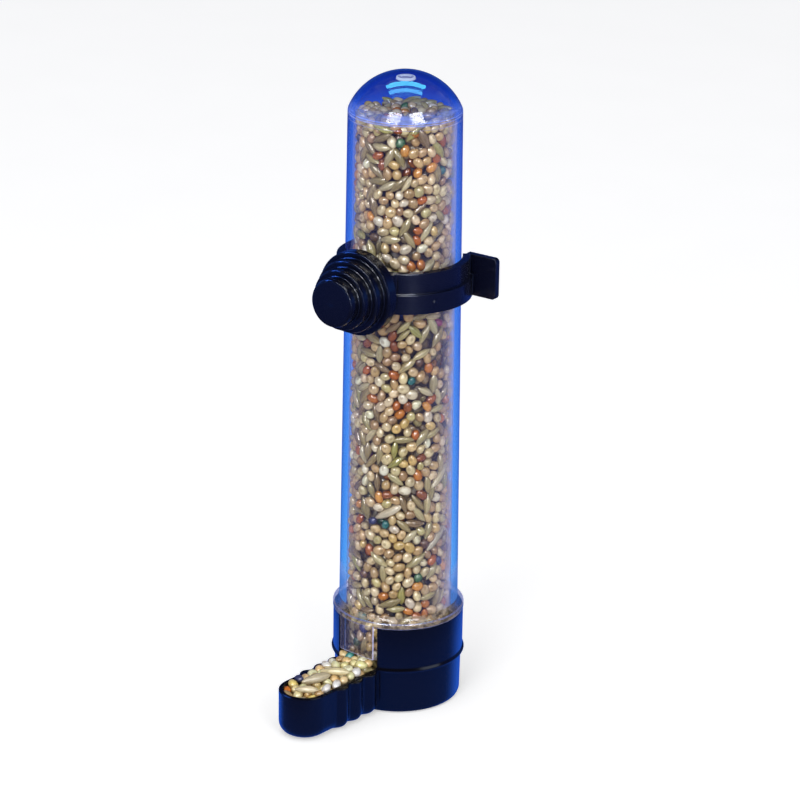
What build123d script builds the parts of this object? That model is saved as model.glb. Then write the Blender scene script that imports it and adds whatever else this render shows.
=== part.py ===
from build123d import *
from math import cos, pi, radians, sin
import os

# Clear tube seed feeder for a bird cage: base cup with trough, domed tube, C-clip, clamp knob
# and the seed inside.
#
# Units are millimetres, +Z is up. The origin is the centre of the cup's underside, on the
# tube's axis. The trough points to -Y, which is the front. The clip and knob stand turned
# CLIP_TURN degrees about the tube from the trough. Names in _R are radii, in _HALF half widths.

TOTAL_H = 140.5  # underside of the cup to the top of the dome

# ---------------------------------------------------------------- base cup sizes
CUP_H = 20.0
CUP_R_FOOT = 13.75  # outside, at the underside (mould draft)
CUP_R_LOW = 13.9  # outside, below the step
CUP_R_BEAD = 14.6  # bead on the step
CUP_R_UP = 14.25  # outside, above the step
CUP_R_IN = 12.75  # bore that takes the tube's skirt
FLOOR = 1.5
STEP_Z = 10.2

TROUGH_TOP = 10.0
TROUGH_HALF = 5.6  # outside
TROUGH_WALL = 0.85
TROUGH_END = 30.15  # distance from the axis to the centre of the round end
TROUGH_FILLET = 2.7  # outer bottom edge
TROUGH_RIM_FILLET = 0.25
CHANNEL_HALF = TROUGH_HALF - TROUGH_WALL
CHANNEL_START = 8.0  # distance from the axis
CHANNEL_FILLET = 1.5

RIB_Y = (15.1, 19.55, 24.0)  # distances from the axis
RIB_OUT = 1.0
RIB_W = 4.2
RIB_SINK = 0.03  # the ribs' edges start this far inside the trough's side
RIB_ROOT = 1.5  # inner limit of the rib sections, from the trough's middle plane
RIB_TOP = TROUGH_TOP - 0.1
RIB_TOP_BEVEL = 0.2
RIB_STEPS = 6  # intervals between loft sections

SLOT_HALF = 5.5  # outlet slot in the cup wall, above the trough's rim
SLOT_Y = (-17.0, -8.0)

# ---------------------------------------------------------------- tube sizes
TUBE_R_FOOT = 13.0  # outside, at TUBE_FOOT_Z
TUBE_FOOT_Z = 20.0
TAPER = 0.0088  # mm of radius lost per mm of height
TUBE_WALL = 1.5
SHOULDER_Z = 132.4
SHOULDER_FILLET = 2.0
SKIRT_R = 12.65
SKIRT_R_IN = 11.5
SKIRT_Z = 1.7
FLANGE_Z = 20.02
FLANGE_TOP = FLANGE_Z + 1.3
FLANGE_R = 14.35
BORE_TAPER_Z = FLANGE_Z + 2.0  # the bore narrows from here up

KEY_HALF = 4.9  # window pane that fills the upper part of the outlet slot
KEY_OUT = 13.75  # distance of its outer face from the axis
KEY_IN = 11.2  # where its block starts, inside the skirt's bore
KEY_Z = 12.3  # its lower edge
KEY_TOP = FLANGE_Z + 0.4

MARK_R = 2.0  # round core-pin recess inside the top of the dome
MARK_DEPTH = 0.35
MARK_PIP_R = 1.0  # pip that hangs from the recess's ceiling
MARK_PIP_DROP = 0.2

# ---------------------------------------------------------------- clip and knob sizes
CLIP_TURN = 6.0  # degrees
CLIP_Z0 = 92.2
CLIP_Z1 = 100.8
CLIP_LEDGE_Z = 96.4  # the lower band ends here
CLIP_R_IN = 12.55
CLIP_R_UP = 14.1
CLIP_R_LOW = 14.75
MOUTH_HALF = 52.0  # degrees each side of the back
MOUTH_STEPS = 18
EAR_ROOT = 10.4  # distances of the ear's ends from the middle plane
EAR_TIP = 17.9
EAR_Y = 8.45  # front face
EAR_T = 1.35
EAR_DROP = 0.45  # the ears reach a little below the band
EAR_FILLET = 0.9
PAD_HALF = 6.9
PAD_Y = 14.95  # front plane of the pad, distance from the axis
PAD_FILLET = 0.8
PIP_R = 0.4  # pip on the lower band
PIP_OUT = 0.3
PIP_SINK = 0.4
PIP_Z = CLIP_LEDGE_Z - 1.9
PIP_TURN = 62.0  # degrees round from the pad

STUD_R = 3.0
STUD_L = 8.6
STUD_SINK = 0.5  # how far the stud starts inside the pad
STUD_CHAMFER = 0.5
KNOB_Z = (CLIP_Z0 + CLIP_Z1) / 2
KNOB_CLEAR = 0.08  # round the stud
KNOB_END_GAP = 0.25  # beyond the stud's length
KNOB_GAP = 0.03  # between pad and knob
KNOB_STEP = 2.65
KNOB_R = (9.0, 7.75, 6.5, 5.2)  # steps, from the pad outwards
KNOB_CROWN = 0.12  # rise of the front face at its centre

# ---------------------------------------------------------------- seed sizes
SEED_GAP = 0.12
SEED_TOP = 131.5
SEED_BOTTOM = FLOOR + SEED_GAP


def tube_r(z):
    """Outside radius of the tapering tube at height z."""
    return TUBE_R_FOOT - TAPER * (z - TUBE_FOOT_Z)


# the dome's two concentric spheres, centred on the axis at DOME_Z
SHOULDER_R = tube_r(SHOULDER_Z)
SHOULDER_R_IN = SHOULDER_R - TUBE_WALL
DOME_H = TOTAL_H - SHOULDER_Z
DOME_R = (SHOULDER_R**2 + DOME_H**2) / (2 * DOME_H)
DOME_R_IN = DOME_R - TUBE_WALL
DOME_Z = TOTAL_H - DOME_R
DOME_TOP_IN = DOME_Z + DOME_R_IN


# ---------------------------------------------------------------- shape helpers
def block(x_range, y_range, z_range):
    """Box between two limits on each axis."""
    ranges = (x_range, y_range, z_range)
    centre = [(start + end) / 2 for start, end in ranges]
    return Pos(*centre) * Box(*[abs(end - start) for start, end in ranges])


def disc(radius, z0, z1):
    """Cylinder on the Z axis."""
    return Pos(0, 0, (z0 + z1) / 2) * Cylinder(radius, z1 - z0)


def front_rod(radius, near, far, z):
    """Cylinder along Y, between two distances in front of the axis."""
    rod = Rot(90, 0, 0) * Cylinder(radius, far - near)
    return Pos(0, -(near + far) / 2, z) * rod


def stadium(half, z0, z1, start=0.0):
    """Bar towards -Y that closes in the trough's round end."""
    bar = block((-half, half), (-TROUGH_END, -start), (z0, z1))
    return bar + Pos(0, -TROUGH_END, 0) * disc(half, z0, z1)


def turned(points):
    """Solid of revolution from (radius, height) points."""
    return revolve(Plane.XZ * make_face(Polyline(*points, close=True)), Axis.Z)


def level_edges(body, z, y_max):
    """Edges at height z whose centre lies in front of y_max."""
    return [
        edge
        for edge in body.edges()
        if abs(edge.center().Z - z) < 0.01 and edge.center().Y < y_max
    ]


def front_uprights(body, front):
    """Vertical edges of the face at distance front before the axis."""
    return [edge for edge in body.edges().filter_by(Axis.Z) if edge.center().Y < -front + 0.1]


# ---------------------------------------------------------------- base cup
def rib_section(side, distance, half):
    """The trough's side and rounded underside at half width half, in the plane Y = -distance.

    The section's own y axis points down.
    """
    radius = TROUGH_FILLET
    plane = Plane((0, -distance, 0), x_dir=(side, 0, 0), z_dir=(0, side, 0))
    with BuildSketch(plane) as section:
        with BuildLine():
            Polyline(
                (RIB_ROOT, 0),
                (RIB_ROOT, -RIB_TOP),
                (half - RIB_TOP_BEVEL, -RIB_TOP),
                (half, -RIB_TOP + RIB_TOP_BEVEL),
                (half, -radius),
            )
            RadiusArc((half, -radius), (half - radius, 0), -radius)
            Line((half - radius, 0), (RIB_ROOT, 0))
        make_face()
    return section.sketch.faces()[0]


def make_rib(side, distance):
    """Rib that swells out of the trough's side and fades back into it."""
    sections = []
    for i in range(RIB_STEPS + 1):
        t = -1 + 2 * i / RIB_STEPS
        out = RIB_OUT * ((1 + cos(pi * t)) / 2) ** 0.7
        half = TROUGH_HALF - RIB_SINK + out
        sections.append(rib_section(side, distance + t * RIB_W / 2, half))
    return loft(sections, ruled=False)


def make_base_cup():
    # (radius, height), up the outside from the underside
    cup = turned([
        (0, 0),
        (CUP_R_FOOT - 0.7, 0),
        (CUP_R_FOOT - 0.2, 0.2),
        (CUP_R_FOOT, 0.7),
        (CUP_R_LOW, STEP_Z - 0.55),
        (CUP_R_BEAD - 0.08, STEP_Z - 0.28),
        (CUP_R_BEAD, STEP_Z - 0.08),
        (CUP_R_BEAD, STEP_Z + 0.06),
        (CUP_R_UP, STEP_Z + 0.62),
        (CUP_R_UP, CUP_H - 0.15),
        (CUP_R_UP - 0.15, CUP_H),
        (0, CUP_H),
    ])
    trough = stadium(TROUGH_HALF, 0.0, TROUGH_TOP)
    trough = fillet(level_edges(trough, 0.0, -0.5), TROUGH_FILLET)
    trough = fillet(level_edges(trough, TROUGH_TOP, -0.5), TROUGH_RIM_FILLET)

    body = cup + trough
    for distance in RIB_Y:
        for side in (-1, 1):
            body = body + make_rib(side, distance)
    body = body - disc(CUP_R_IN, FLOOR, FLOOR + 30)

    channel = stadium(CHANNEL_HALF, FLOOR, TROUGH_TOP + 1, CHANNEL_START)
    channel = fillet(level_edges(channel, FLOOR, -CHANNEL_START - 0.5), CHANNEL_FILLET)
    body = body - channel
    return body - block((-SLOT_HALF, SLOT_HALF), SLOT_Y, (TROUGH_TOP, CUP_H + 1))


# ---------------------------------------------------------------- clear tube
def dome_point(sphere_r, r):
    """Profile point at radius r on a dome sphere."""
    return (r, DOME_Z + (sphere_r**2 - r**2) ** 0.5)


def make_tube_shell():
    """Skirt, flange, tapering wall and dome in one revolved profile."""
    shoulder = (SHOULDER_R, SHOULDER_Z)
    shoulder_in = dome_point(DOME_R_IN, SHOULDER_R_IN)
    with BuildPart() as shell:
        with BuildSketch(Plane.XZ):
            with BuildLine():
                Line((0, DOME_TOP_IN), (0, TOTAL_H))
                ThreePointArc((0, TOTAL_H), dome_point(DOME_R, SHOULDER_R * 0.55), shoulder)
                # down the outside, round the flange and skirt, up the bore
                Polyline(
                    shoulder,
                    (tube_r(23.0), 23.0),
                    (tube_r(21.9) + 0.12, FLANGE_TOP + 0.45),
                    (tube_r(21.5) + 0.5, FLANGE_TOP + 0.08),
                    (FLANGE_R - 0.3, FLANGE_TOP),
                    (FLANGE_R, FLANGE_TOP - 0.3),
                    (FLANGE_R, FLANGE_Z),
                    (SKIRT_R, FLANGE_Z),
                    (SKIRT_R, SKIRT_Z + 0.4),
                    (SKIRT_R - 0.3, SKIRT_Z),
                    (SKIRT_R_IN, SKIRT_Z),
                    (SKIRT_R_IN, BORE_TAPER_Z),
                    shoulder_in,
                )
                ThreePointArc(
                    shoulder_in, dome_point(DOME_R_IN, SHOULDER_R_IN * 0.55), (0, DOME_TOP_IN)
                )
            make_face()
        revolve(axis=Axis.Z)
    return shell.part


def make_pane():
    """Window pane, hollowed to the skirt's bore."""
    pane = block((-KEY_HALF, KEY_HALF), (-KEY_OUT, -KEY_IN), (KEY_Z, KEY_TOP))
    pane = chamfer(front_uprights(pane, KEY_OUT), 0.5)
    return pane - disc(SKIRT_R_IN, KEY_Z - 5, KEY_TOP + 5)


def make_seed_tube():
    tube = make_tube_shell()
    shoulder_edges = [
        edge
        for edge in tube.edges().filter_by(GeomType.CIRCLE)
        if abs(edge.center().Z - SHOULDER_Z) < 0.01 and edge.radius > SHOULDER_R - 0.05
    ]
    tube = fillet(shoulder_edges, SHOULDER_FILLET)

    ceiling = DOME_TOP_IN + MARK_DEPTH
    tube = tube - disc(MARK_R, ceiling - 0.9, ceiling)
    tube = tube + disc(MARK_PIP_R, ceiling - MARK_PIP_DROP, ceiling + 0.1)

    # outlet in the skirt, under the window pane
    tube = tube - block((-CHANNEL_HALF, CHANNEL_HALF), (-15.0, -9.0), (SKIRT_Z - 0.5, KEY_Z))
    return tube + make_pane()


# ---------------------------------------------------------------- clip
def make_mouth():
    """Wedge that opens to +Y, MOUTH_HALF degrees each side."""
    reach = CLIP_R_LOW * 2.2
    points = [(0, 0)]
    for i in range(MOUTH_STEPS + 1):
        angle = radians(-MOUTH_HALF + 2 * MOUTH_HALF * i / MOUTH_STEPS)
        points.append((reach * sin(angle), reach * cos(angle)))
    return Pos(0, 0, CLIP_Z0 - 1) * extrude(make_face(Polyline(*points, close=True)), 12)


def make_ear(side):
    tip = side * EAR_TIP
    ear = block((side * EAR_ROOT, tip), (EAR_Y, EAR_Y + EAR_T), (CLIP_Z0 - EAR_DROP, CLIP_Z1))
    tip_edges = [
        edge for edge in ear.edges().filter_by(Axis.Y) if abs(edge.center().X - tip) < 0.1
    ]
    return fillet(tip_edges, EAR_FILLET)


def make_clip_ring():
    bore = disc(CLIP_R_IN, CLIP_Z0 - 5, CLIP_Z1 + 5)
    clip = disc(CLIP_R_LOW, CLIP_Z0, CLIP_LEDGE_Z) + disc(CLIP_R_UP, CLIP_LEDGE_Z, CLIP_Z1)
    pad = block((-PAD_HALF, PAD_HALF), (-PAD_Y, 0), (CLIP_Z0, CLIP_Z1))
    clip = clip + fillet(front_uprights(pad, PAD_Y), PAD_FILLET)
    clip = clip - bore
    clip = clip - make_mouth()
    clip = clip + make_ear(-1) + make_ear(1)
    clip = clip - bore  # trims the ears' roots

    stud_end = PAD_Y + STUD_L
    stud = front_rod(STUD_R, PAD_Y - STUD_SINK, stud_end, KNOB_Z)
    end_edges = [edge for edge in stud.edges() if edge.center().Y < -stud_end + 0.3]
    clip = clip + chamfer(end_edges, STUD_CHAMFER)

    pip = front_rod(PIP_R, CLIP_R_LOW - PIP_SINK, CLIP_R_LOW + PIP_OUT, PIP_Z)
    clip = clip + Rot(0, 0, PIP_TURN) * pip
    return Rot(0, 0, CLIP_TURN) * clip


# ---------------------------------------------------------------- clamp knob
def make_clamp_knob():
    """Stepped knob, revolved about Z from its pad face, then laid towards -Y."""
    profile = [(0.0, 0.0)]
    for i, r in enumerate(KNOB_R):
        back = i * KNOB_STEP
        front = (i + 1) * KNOB_STEP
        # rounding of the step's front edge, larger on the last
        soft = 0.35 if i < len(KNOB_R) - 1 else 0.6
        profile += [
            (r, back),
            (r, front - soft),
            (r - soft * 0.3, front - soft * 0.3),
            (r - soft, front),
        ]
    profile.append((0.0, len(KNOB_R) * KNOB_STEP + KNOB_CROWN))
    knob = turned(profile) - disc(STUD_R + KNOB_CLEAR, -1.0, STUD_L + KNOB_END_GAP)
    knob = Pos(0, -(PAD_Y + KNOB_GAP), KNOB_Z) * (Rot(90, 0, 0) * knob)
    return Rot(0, 0, CLIP_TURN) * knob


# ---------------------------------------------------------------- seed (contents)
def make_seed_column():
    # (radius, height), out along the bottom and up the bore
    return turned([
        (0, SEED_BOTTOM + 0.1),
        (SKIRT_R_IN - SEED_GAP, SEED_BOTTOM + 0.1),
        (SKIRT_R_IN - SEED_GAP, BORE_TAPER_Z),
        (SHOULDER_R_IN - SEED_GAP, SEED_TOP - 2.0),
        (SHOULDER_R_IN - 3.0, SEED_TOP),
        (0, SEED_TOP + 2.0),
    ])


def make_seed_pile():
    """Seed in the trough: heaped against the tube, about level with the rim at the end."""
    start = SKIRT_R + 0.2
    pile = stadium(CHANNEL_HALF - SEED_GAP, SEED_BOTTOM, SEED_BOTTOM + 14.0, start)
    pile = fillet(level_edges(pile, SEED_BOTTOM, -13.5), CHANNEL_FILLET)
    # (y, z) outline of the space above the sloping top
    above = Polyline(
        (-SKIRT_R - 0.1, KEY_Z - 0.35),
        (-KEY_OUT - 2.2, KEY_Z - 0.9),
        (-TROUGH_END + 6, TROUGH_TOP + 0.6),
        (-TROUGH_END - 8, TROUGH_TOP - 1.0),
        (-TROUGH_END - 8, 20),
        (-SKIRT_R + 2, 20),
        (-SKIRT_R + 2, KEY_Z - 0.35),
        close=True,
    )
    return pile - extrude(Plane.YZ * make_face(above), 12, both=True)


# ---------------------------------------------------------------- write
parts = {
    "base_cup": make_base_cup,
    "seed_tube": make_seed_tube,
    "clip_ring": make_clip_ring,
    "clamp_knob": make_clamp_knob,
    "seed_column": make_seed_column,
    "seed_pile": make_seed_pile,
}
os.makedirs("parts", exist_ok=True)
for name, make_part in parts.items():
    export_step(make_part(), f"parts/{name}.step")
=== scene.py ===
"""Looks for a clip-on tube seed feeder.

A clear domed tube full of mixed seed stands in a black cup with a ribbed trough, a C-clip and
a clamp knob. +Z is up, the origin lies under the cup on the tube's axis and the trough points
to -Y. Blender works in metres; sizes here are in millimetres unless a comment says otherwise.
"""

import math
from functools import cache, cached_property

import bmesh
import bpy
import numpy as np
from mathutils import Matrix, Vector

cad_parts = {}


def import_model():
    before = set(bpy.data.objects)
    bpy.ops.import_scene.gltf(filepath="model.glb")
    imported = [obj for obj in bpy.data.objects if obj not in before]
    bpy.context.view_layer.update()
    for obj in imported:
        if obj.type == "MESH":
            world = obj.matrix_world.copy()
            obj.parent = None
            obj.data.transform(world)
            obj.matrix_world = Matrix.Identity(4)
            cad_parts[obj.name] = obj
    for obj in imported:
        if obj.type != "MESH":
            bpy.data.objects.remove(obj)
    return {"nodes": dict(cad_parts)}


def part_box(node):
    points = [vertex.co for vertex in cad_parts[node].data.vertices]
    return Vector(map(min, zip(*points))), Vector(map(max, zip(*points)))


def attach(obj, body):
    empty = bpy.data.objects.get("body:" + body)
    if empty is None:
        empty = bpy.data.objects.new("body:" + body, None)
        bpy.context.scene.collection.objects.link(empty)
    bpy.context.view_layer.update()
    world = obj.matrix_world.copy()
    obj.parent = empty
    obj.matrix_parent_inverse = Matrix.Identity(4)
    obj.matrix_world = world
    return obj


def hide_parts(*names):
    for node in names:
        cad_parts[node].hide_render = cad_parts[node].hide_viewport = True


MM = 0.001
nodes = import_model()["nodes"]
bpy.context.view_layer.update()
scene = bpy.context.scene

# ------------------------------------------------------------------ sizes, mm
TUBE_TOP = 140.5
TUBE_WALL = 1.5
TUBE_R, TUBE_R_Z = 13.0, 20.0  # outside radius, and the height it is taken at
TAPER = 0.0088  # radius lost per mm of height
SHOULDER_Z = 132.4  # where wall and dome would meet without rounding
SHOULDER_LOW_Z = 131.95  # lower end of the shoulder's rounding
DOME_R, DOME_Z = 12.955, 127.545  # sphere of the dome: radius and centre
BORE_R, BORE_TAPER_Z = 11.5, 22.02  # straight bore, and where it starts to narrow
BORE_SHOULDER_R, BORE_SHOULDER_Z = 10.511, 132.1
BORE_DOME_R = DOME_R - TUBE_WALL
SKIRT_R, SKIRT_Z = 12.65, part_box("seed_tube")[0].z / MM
FLANGE_R, FLANGE_Z = 14.35, 20.02
PANE_HALF, PANE_Y, PANE_Z = 4.9, -13.75, 12.3  # window pane: half width, face, lower edge
OUTLET_HALF = 4.75
TROUGH_HALF = 4.75  # half width inside, also the radius of its round end
TROUGH_END_Y = -30.15  # centre of the round end
TROUGH_FLOOR_Z = 1.5
SEED_TOP = 131.1


def tube_r(z):
    """Outside radius of the tube wall at height z."""
    return TUBE_R - TAPER * (z - TUBE_R_Z)


def bore_r(z):
    """Inside radius of the tube at height z, also inside the dome."""
    z = np.asarray(z, float)
    t = np.clip((z - BORE_TAPER_Z) / (BORE_SHOULDER_Z - BORE_TAPER_Z), 0.0, 1.0)
    straight = BORE_R + t * (BORE_SHOULDER_R - BORE_R)
    dome = np.sqrt(np.maximum(BORE_DOME_R**2 - (z - DOME_Z) ** 2, 0.01))
    return np.where(z > BORE_SHOULDER_Z, dome, straight)


# ------------------------------------------------------------------ helpers
def srgb(*rgb):
    """Linear colour of an 8-bit sRGB value."""
    scaled = (c / 255.0 for c in rgb)
    return tuple(c / 12.92 if c <= 0.04045 else ((c + 0.055) / 1.055) ** 2.4 for c in scaled)


def link_object(name, mesh):
    ob = bpy.data.objects.new(name, mesh)
    scene.collection.objects.link(ob)
    return ob


def new_object(name, verts, faces, smooth=True):
    """Object from vertices in metres."""
    mesh = bpy.data.meshes.new(name)
    mesh.from_pydata([tuple(v) for v in verts], [], [tuple(f) for f in faces])
    mesh.update()
    if smooth:
        mesh.polygons.foreach_set("use_smooth", [True] * len(mesh.polygons))
    return link_object(name, mesh)


class Shader:
    """Node tree of a material or world. Arguments may be sockets or plain values."""

    def __init__(self, owner, output="OutputMaterial"):
        self.owner = owner
        owner.use_nodes = True
        self.tree = owner.node_tree
        self.tree.nodes.clear()
        self.output = self.node(output)

    def finish(self, surface):
        self.feed(self.output.inputs[0], surface)
        return self.owner

    def feed(self, socket, value):
        if hasattr(value, "links"):
            self.tree.links.new(value, socket)
        elif socket.type == "RGBA":
            socket.default_value = (*value, 1.0)
        else:
            socket.default_value = value

    def node(self, kind, inputs=None, **settings):
        node = self.tree.nodes.new("ShaderNode" + kind)
        for key, value in settings.items():
            setattr(node, key, value)
        for key, value in (inputs or {}).items():
            self.feed(node.inputs[key], value)
        return node

    def math(self, operation, *values, clamp=False):
        inputs = dict(enumerate(values))
        return self.node("Math", inputs, operation=operation, use_clamp=clamp).outputs[0]

    def times(self, a, b):
        return self.math("MULTIPLY", a, b)

    def plus(self, a, b):
        return self.math("ADD", a, b)

    def scaled(self, value, gain, offset):
        return self.plus(self.times(value, gain), offset)

    def inverse(self, value):
        """1 - value"""
        return self.math("SUBTRACT", 1.0, value)

    def vector(self, operation, a, b=None, scale=None, output="Vector"):
        inputs = {0: a}
        if b is not None:
            inputs[1] = b
        if scale is not None:
            inputs["Scale"] = scale
        return self.node("VectorMath", inputs, operation=operation).outputs[output]

    def mix(self, amount, a, b):
        return self.node("Mix", {0: amount, 6: a, 7: b}, data_type="RGBA").outputs[2]

    def mix_shader(self, amount, a, b):
        return self.node("MixShader", {0: amount, 1: a, 2: b}).outputs[0]

    def smoothstep(self, value, start, end, low=0.0, high=1.0):
        """Smooth change from low to high as value goes from start to end."""
        inputs = {"From Min": start, "From Max": end, "To Min": low, "To Max": high}
        inputs["Value"] = value
        return self.node("MapRange", inputs, interpolation_type="SMOOTHSTEP").outputs[0]

    def ramp(self, value, stops):
        """Colour ramp; stops are (position, colour or grey level)."""
        node = self.node("ValToRGB", {0: value})
        elements = node.color_ramp.elements
        while len(elements) > 1:
            elements.remove(elements[-1])
        for i, (position, colour) in enumerate(stops):
            if isinstance(colour, float):
                colour = (colour,) * 3
            if i == 0:
                element = elements[0]
                element.position = position
            else:
                element = elements.new(position)
            element.color = (*colour, 1.0)
        return node.outputs[0]

    def noise(self, coords, scale, detail=2.0, rough=0.5):
        inputs = {"Scale": scale, "Detail": detail, "Roughness": rough, "Vector": coords}
        return self.node("TexNoise", inputs).outputs[0]

    def bump(self, height, strength, distance, normal=None, invert=False):
        """Bumped normal; distance in metres."""
        inputs = {"Strength": strength, "Distance": distance, "Height": height}
        if normal is not None:
            inputs["Normal"] = normal
        return self.node("Bump", inputs, invert=invert).outputs[0]

    def stretched(self, coords, z_scale):
        inputs = {"Scale": (1.0, 1.0, z_scale), "Vector": coords}
        return self.node("Mapping", inputs).outputs[0]

    def separate(self, vector):
        return self.node("SeparateXYZ", {0: vector}).outputs

    def coords(self):
        """Object coordinates, metres."""
        return self.node("TexCoord").outputs["Object"]

    def turned_away(self, normal=None):
        """0 where the surface faces the viewer, 1 where it is edge-on."""
        inputs = {"Blend": 0.5}
        if normal is not None:
            inputs["Normal"] = normal
        return self.node("LayerWeight", inputs).outputs["Facing"]

    def light_path(self):
        return self.node("LightPath").outputs


def new_shader(name):
    return Shader(bpy.data.materials.new(name))


# ------------------------------------------------------------------ black plastic
def rubbed_edges(graph, rounded_normal, normal):
    """1 where the rounded normal leaves the true one, so along edges."""
    agreement = graph.vector("DOT_PRODUCT", rounded_normal, normal, output="Value")
    return graph.smoothstep(agreement, start=0.995, end=0.80)


def sheen_amount(graph, coords, bumped, normal, strength, dull_ribs):
    """Extra gloss where the surface turns away, but not on tops and undersides."""
    turned = graph.smoothstep(
        graph.turned_away(bumped), start=0.42, end=0.80, high=strength
    )
    normal_z = graph.separate(normal)[2]
    not_under = graph.smoothstep(normal_z, start=-0.6, end=-0.05)
    sheen = graph.times(turned, not_under)
    not_top = graph.smoothstep(normal_z, start=0.55, end=0.15)
    sheen = graph.times(sheen, not_top)
    if dull_ribs:
        # the ribbed sides of the trough stay dull; y in metres
        y = graph.separate(coords)[1]
        past_cup = graph.smoothstep(y, start=-0.0128, end=-0.0134)
        before_end = graph.smoothstep(y, start=-0.0285, end=-0.0265)
        ribbed = graph.times(past_cup, before_end)
        sheen = graph.times(sheen, graph.inverse(graph.times(ribbed, 0.8)))
    return sheen


def black_plastic(name, base, rough, grain, grain_scale, edge_radius, sheen, dull_ribs=False):
    """Moulded black plastic: glossy, faint flow marks, rounded and rubbed edges.

    grain is the bump strength, edge_radius is in metres, sheen the gloss on turned surfaces.
    """
    graph = new_shader(name)
    coords = graph.coords()
    flow = graph.noise(coords, scale=90.0, detail=3.0, rough=0.55)
    grains = graph.noise(coords, scale=grain_scale, detail=2.0, rough=0.6)
    scuff = graph.noise(coords, scale=420.0, detail=5.0, rough=0.7)
    rounded = graph.node("Bevel", {"Radius": edge_radius}, samples=6).outputs[0]
    normal = graph.node("NewGeometry").outputs["Normal"]
    rub = rubbed_edges(graph, rounded, normal)
    relief = graph.plus(graph.times(grains, 0.4), flow)
    bumped = graph.bump(relief, strength=grain, distance=0.00005, normal=rounded)

    lighter = tuple(c * 1.9 for c in base)
    colour = graph.mix(graph.times(flow, 0.6), base, lighter)
    worn = graph.times(rub, graph.scaled(scuff, gain=0.6, offset=0.1))
    colour = graph.mix(worn, colour, (0.020, 0.028, 0.060))
    roughness = graph.scaled(scuff, gain=0.10, offset=rough - 0.05)
    # flat tops gather dust and reflect less
    up = graph.separate(graph.node("NewGeometry").outputs["Normal"])[2]
    specular = graph.smoothstep(up, start=0.6, end=0.95, low=0.5, high=0.12)
    body = graph.node(
        "BsdfPrincipled",
        {
            "Base Color": colour,
            "Roughness": roughness,
            "IOR": 1.5,
            "Specular IOR Level": specular,
            "Normal": bumped,
        },
    )
    amount = sheen_amount(graph, coords, bumped, normal, sheen, dull_ribs)
    gloss = graph.node(
        "BsdfGlossy", {"Color": (0.9, 0.95, 1.0), "Roughness": roughness, "Normal": bumped}
    )
    return graph.finish(graph.mix_shader(amount, body.outputs[0], gloss.outputs[0]))


BLACK_PARTS = {
    # node: its slot name and its plastic
    "base_cup": ("black_plastic", dict(
        name="black_cup_plastic", base=(0.0036, 0.0032, 0.0050), rough=0.17, grain=0.10,
        grain_scale=2600.0, edge_radius=0.00022, sheen=0.5, dull_ribs=True,
    )),
    "clip_ring": ("black_clip", dict(
        name="black_clip_plastic", base=(0.0044, 0.0056, 0.0200), rough=0.20, grain=0.14,
        grain_scale=2300.0, edge_radius=0.00028, sheen=0.24,
    )),
    "clamp_knob": ("black_knob", dict(
        name="black_knob_plastic", base=(0.0036, 0.0042, 0.0110), rough=0.15, grain=0.08,
        grain_scale=2500.0, edge_radius=0.00035, sheen=0.20,
    )),
}
for part, (slot_name, plastic) in BLACK_PARTS.items():
    black = black_plastic(**plastic)
    for material_slot in nodes[part].material_slots:
        material_slot.link = "OBJECT"
        material_slot.material = black


# ------------------------------------------------------------------ clear tube: mesh
LATHE_SEGMENTS = 192

# (r, z) round the flange, down the outside of the skirt and under its rim
FLANGE_AND_SKIRT = [
    (13.62, 21.36), (14.06, 21.32), (14.2, 21.29), (14.3, 21.2), (FLANGE_R, 21.05),
    (FLANGE_R, 20.2), (14.32, 20.08), (14.25, FLANGE_Z), (12.75, FLANGE_Z), (12.68, 19.98),
    (SKIRT_R, 19.9), (SKIRT_R, 16.0), (SKIRT_R, 12.0), (SKIRT_R, 7.0), (SKIRT_R, 2.15),
    (12.6, 1.98), (12.42, 1.78), (12.25, 1.7), (11.66, 1.7), (11.54, 1.74), (BORE_R, 1.86),
]
# (r, z above the top of the inner sphere): a shallow hollow with a pip, inside the dome
CORE_PIN_MARK = [
    (2.06, -0.185), (2.0, -0.14), (1.99, 0.16), (1.95, 0.26), (1.85, 0.31), (1.4, 0.33),
    (1.12, 0.33), (1.04, 0.29), (0.98, 0.20), (0.85, 0.14), (0.45, 0.11), (0.0, 0.10),
]


def curve_between(start, corner, end, steps):
    """Points of a quadratic curve, both ends left out."""
    points = []
    for i in range(1, steps):
        t = i / steps
        points.append(
            tuple(
                (1 - t) ** 2 * start[k] + 2 * t * (1 - t) * corner[k] + t * t * end[k]
                for k in (0, 1)
            )
        )
    return points


def dome_arc(sphere_r, start_r, end_r, steps):
    """Arc about the dome's centre between two distances from the axis."""
    start, end = math.asin(start_r / sphere_r), math.asin(end_r / sphere_r)
    angles = [start + (end - start) * i / steps for i in range(steps + 1)]
    return [(sphere_r * math.sin(e), DOME_Z + sphere_r * math.cos(e)) for e in angles]


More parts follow.
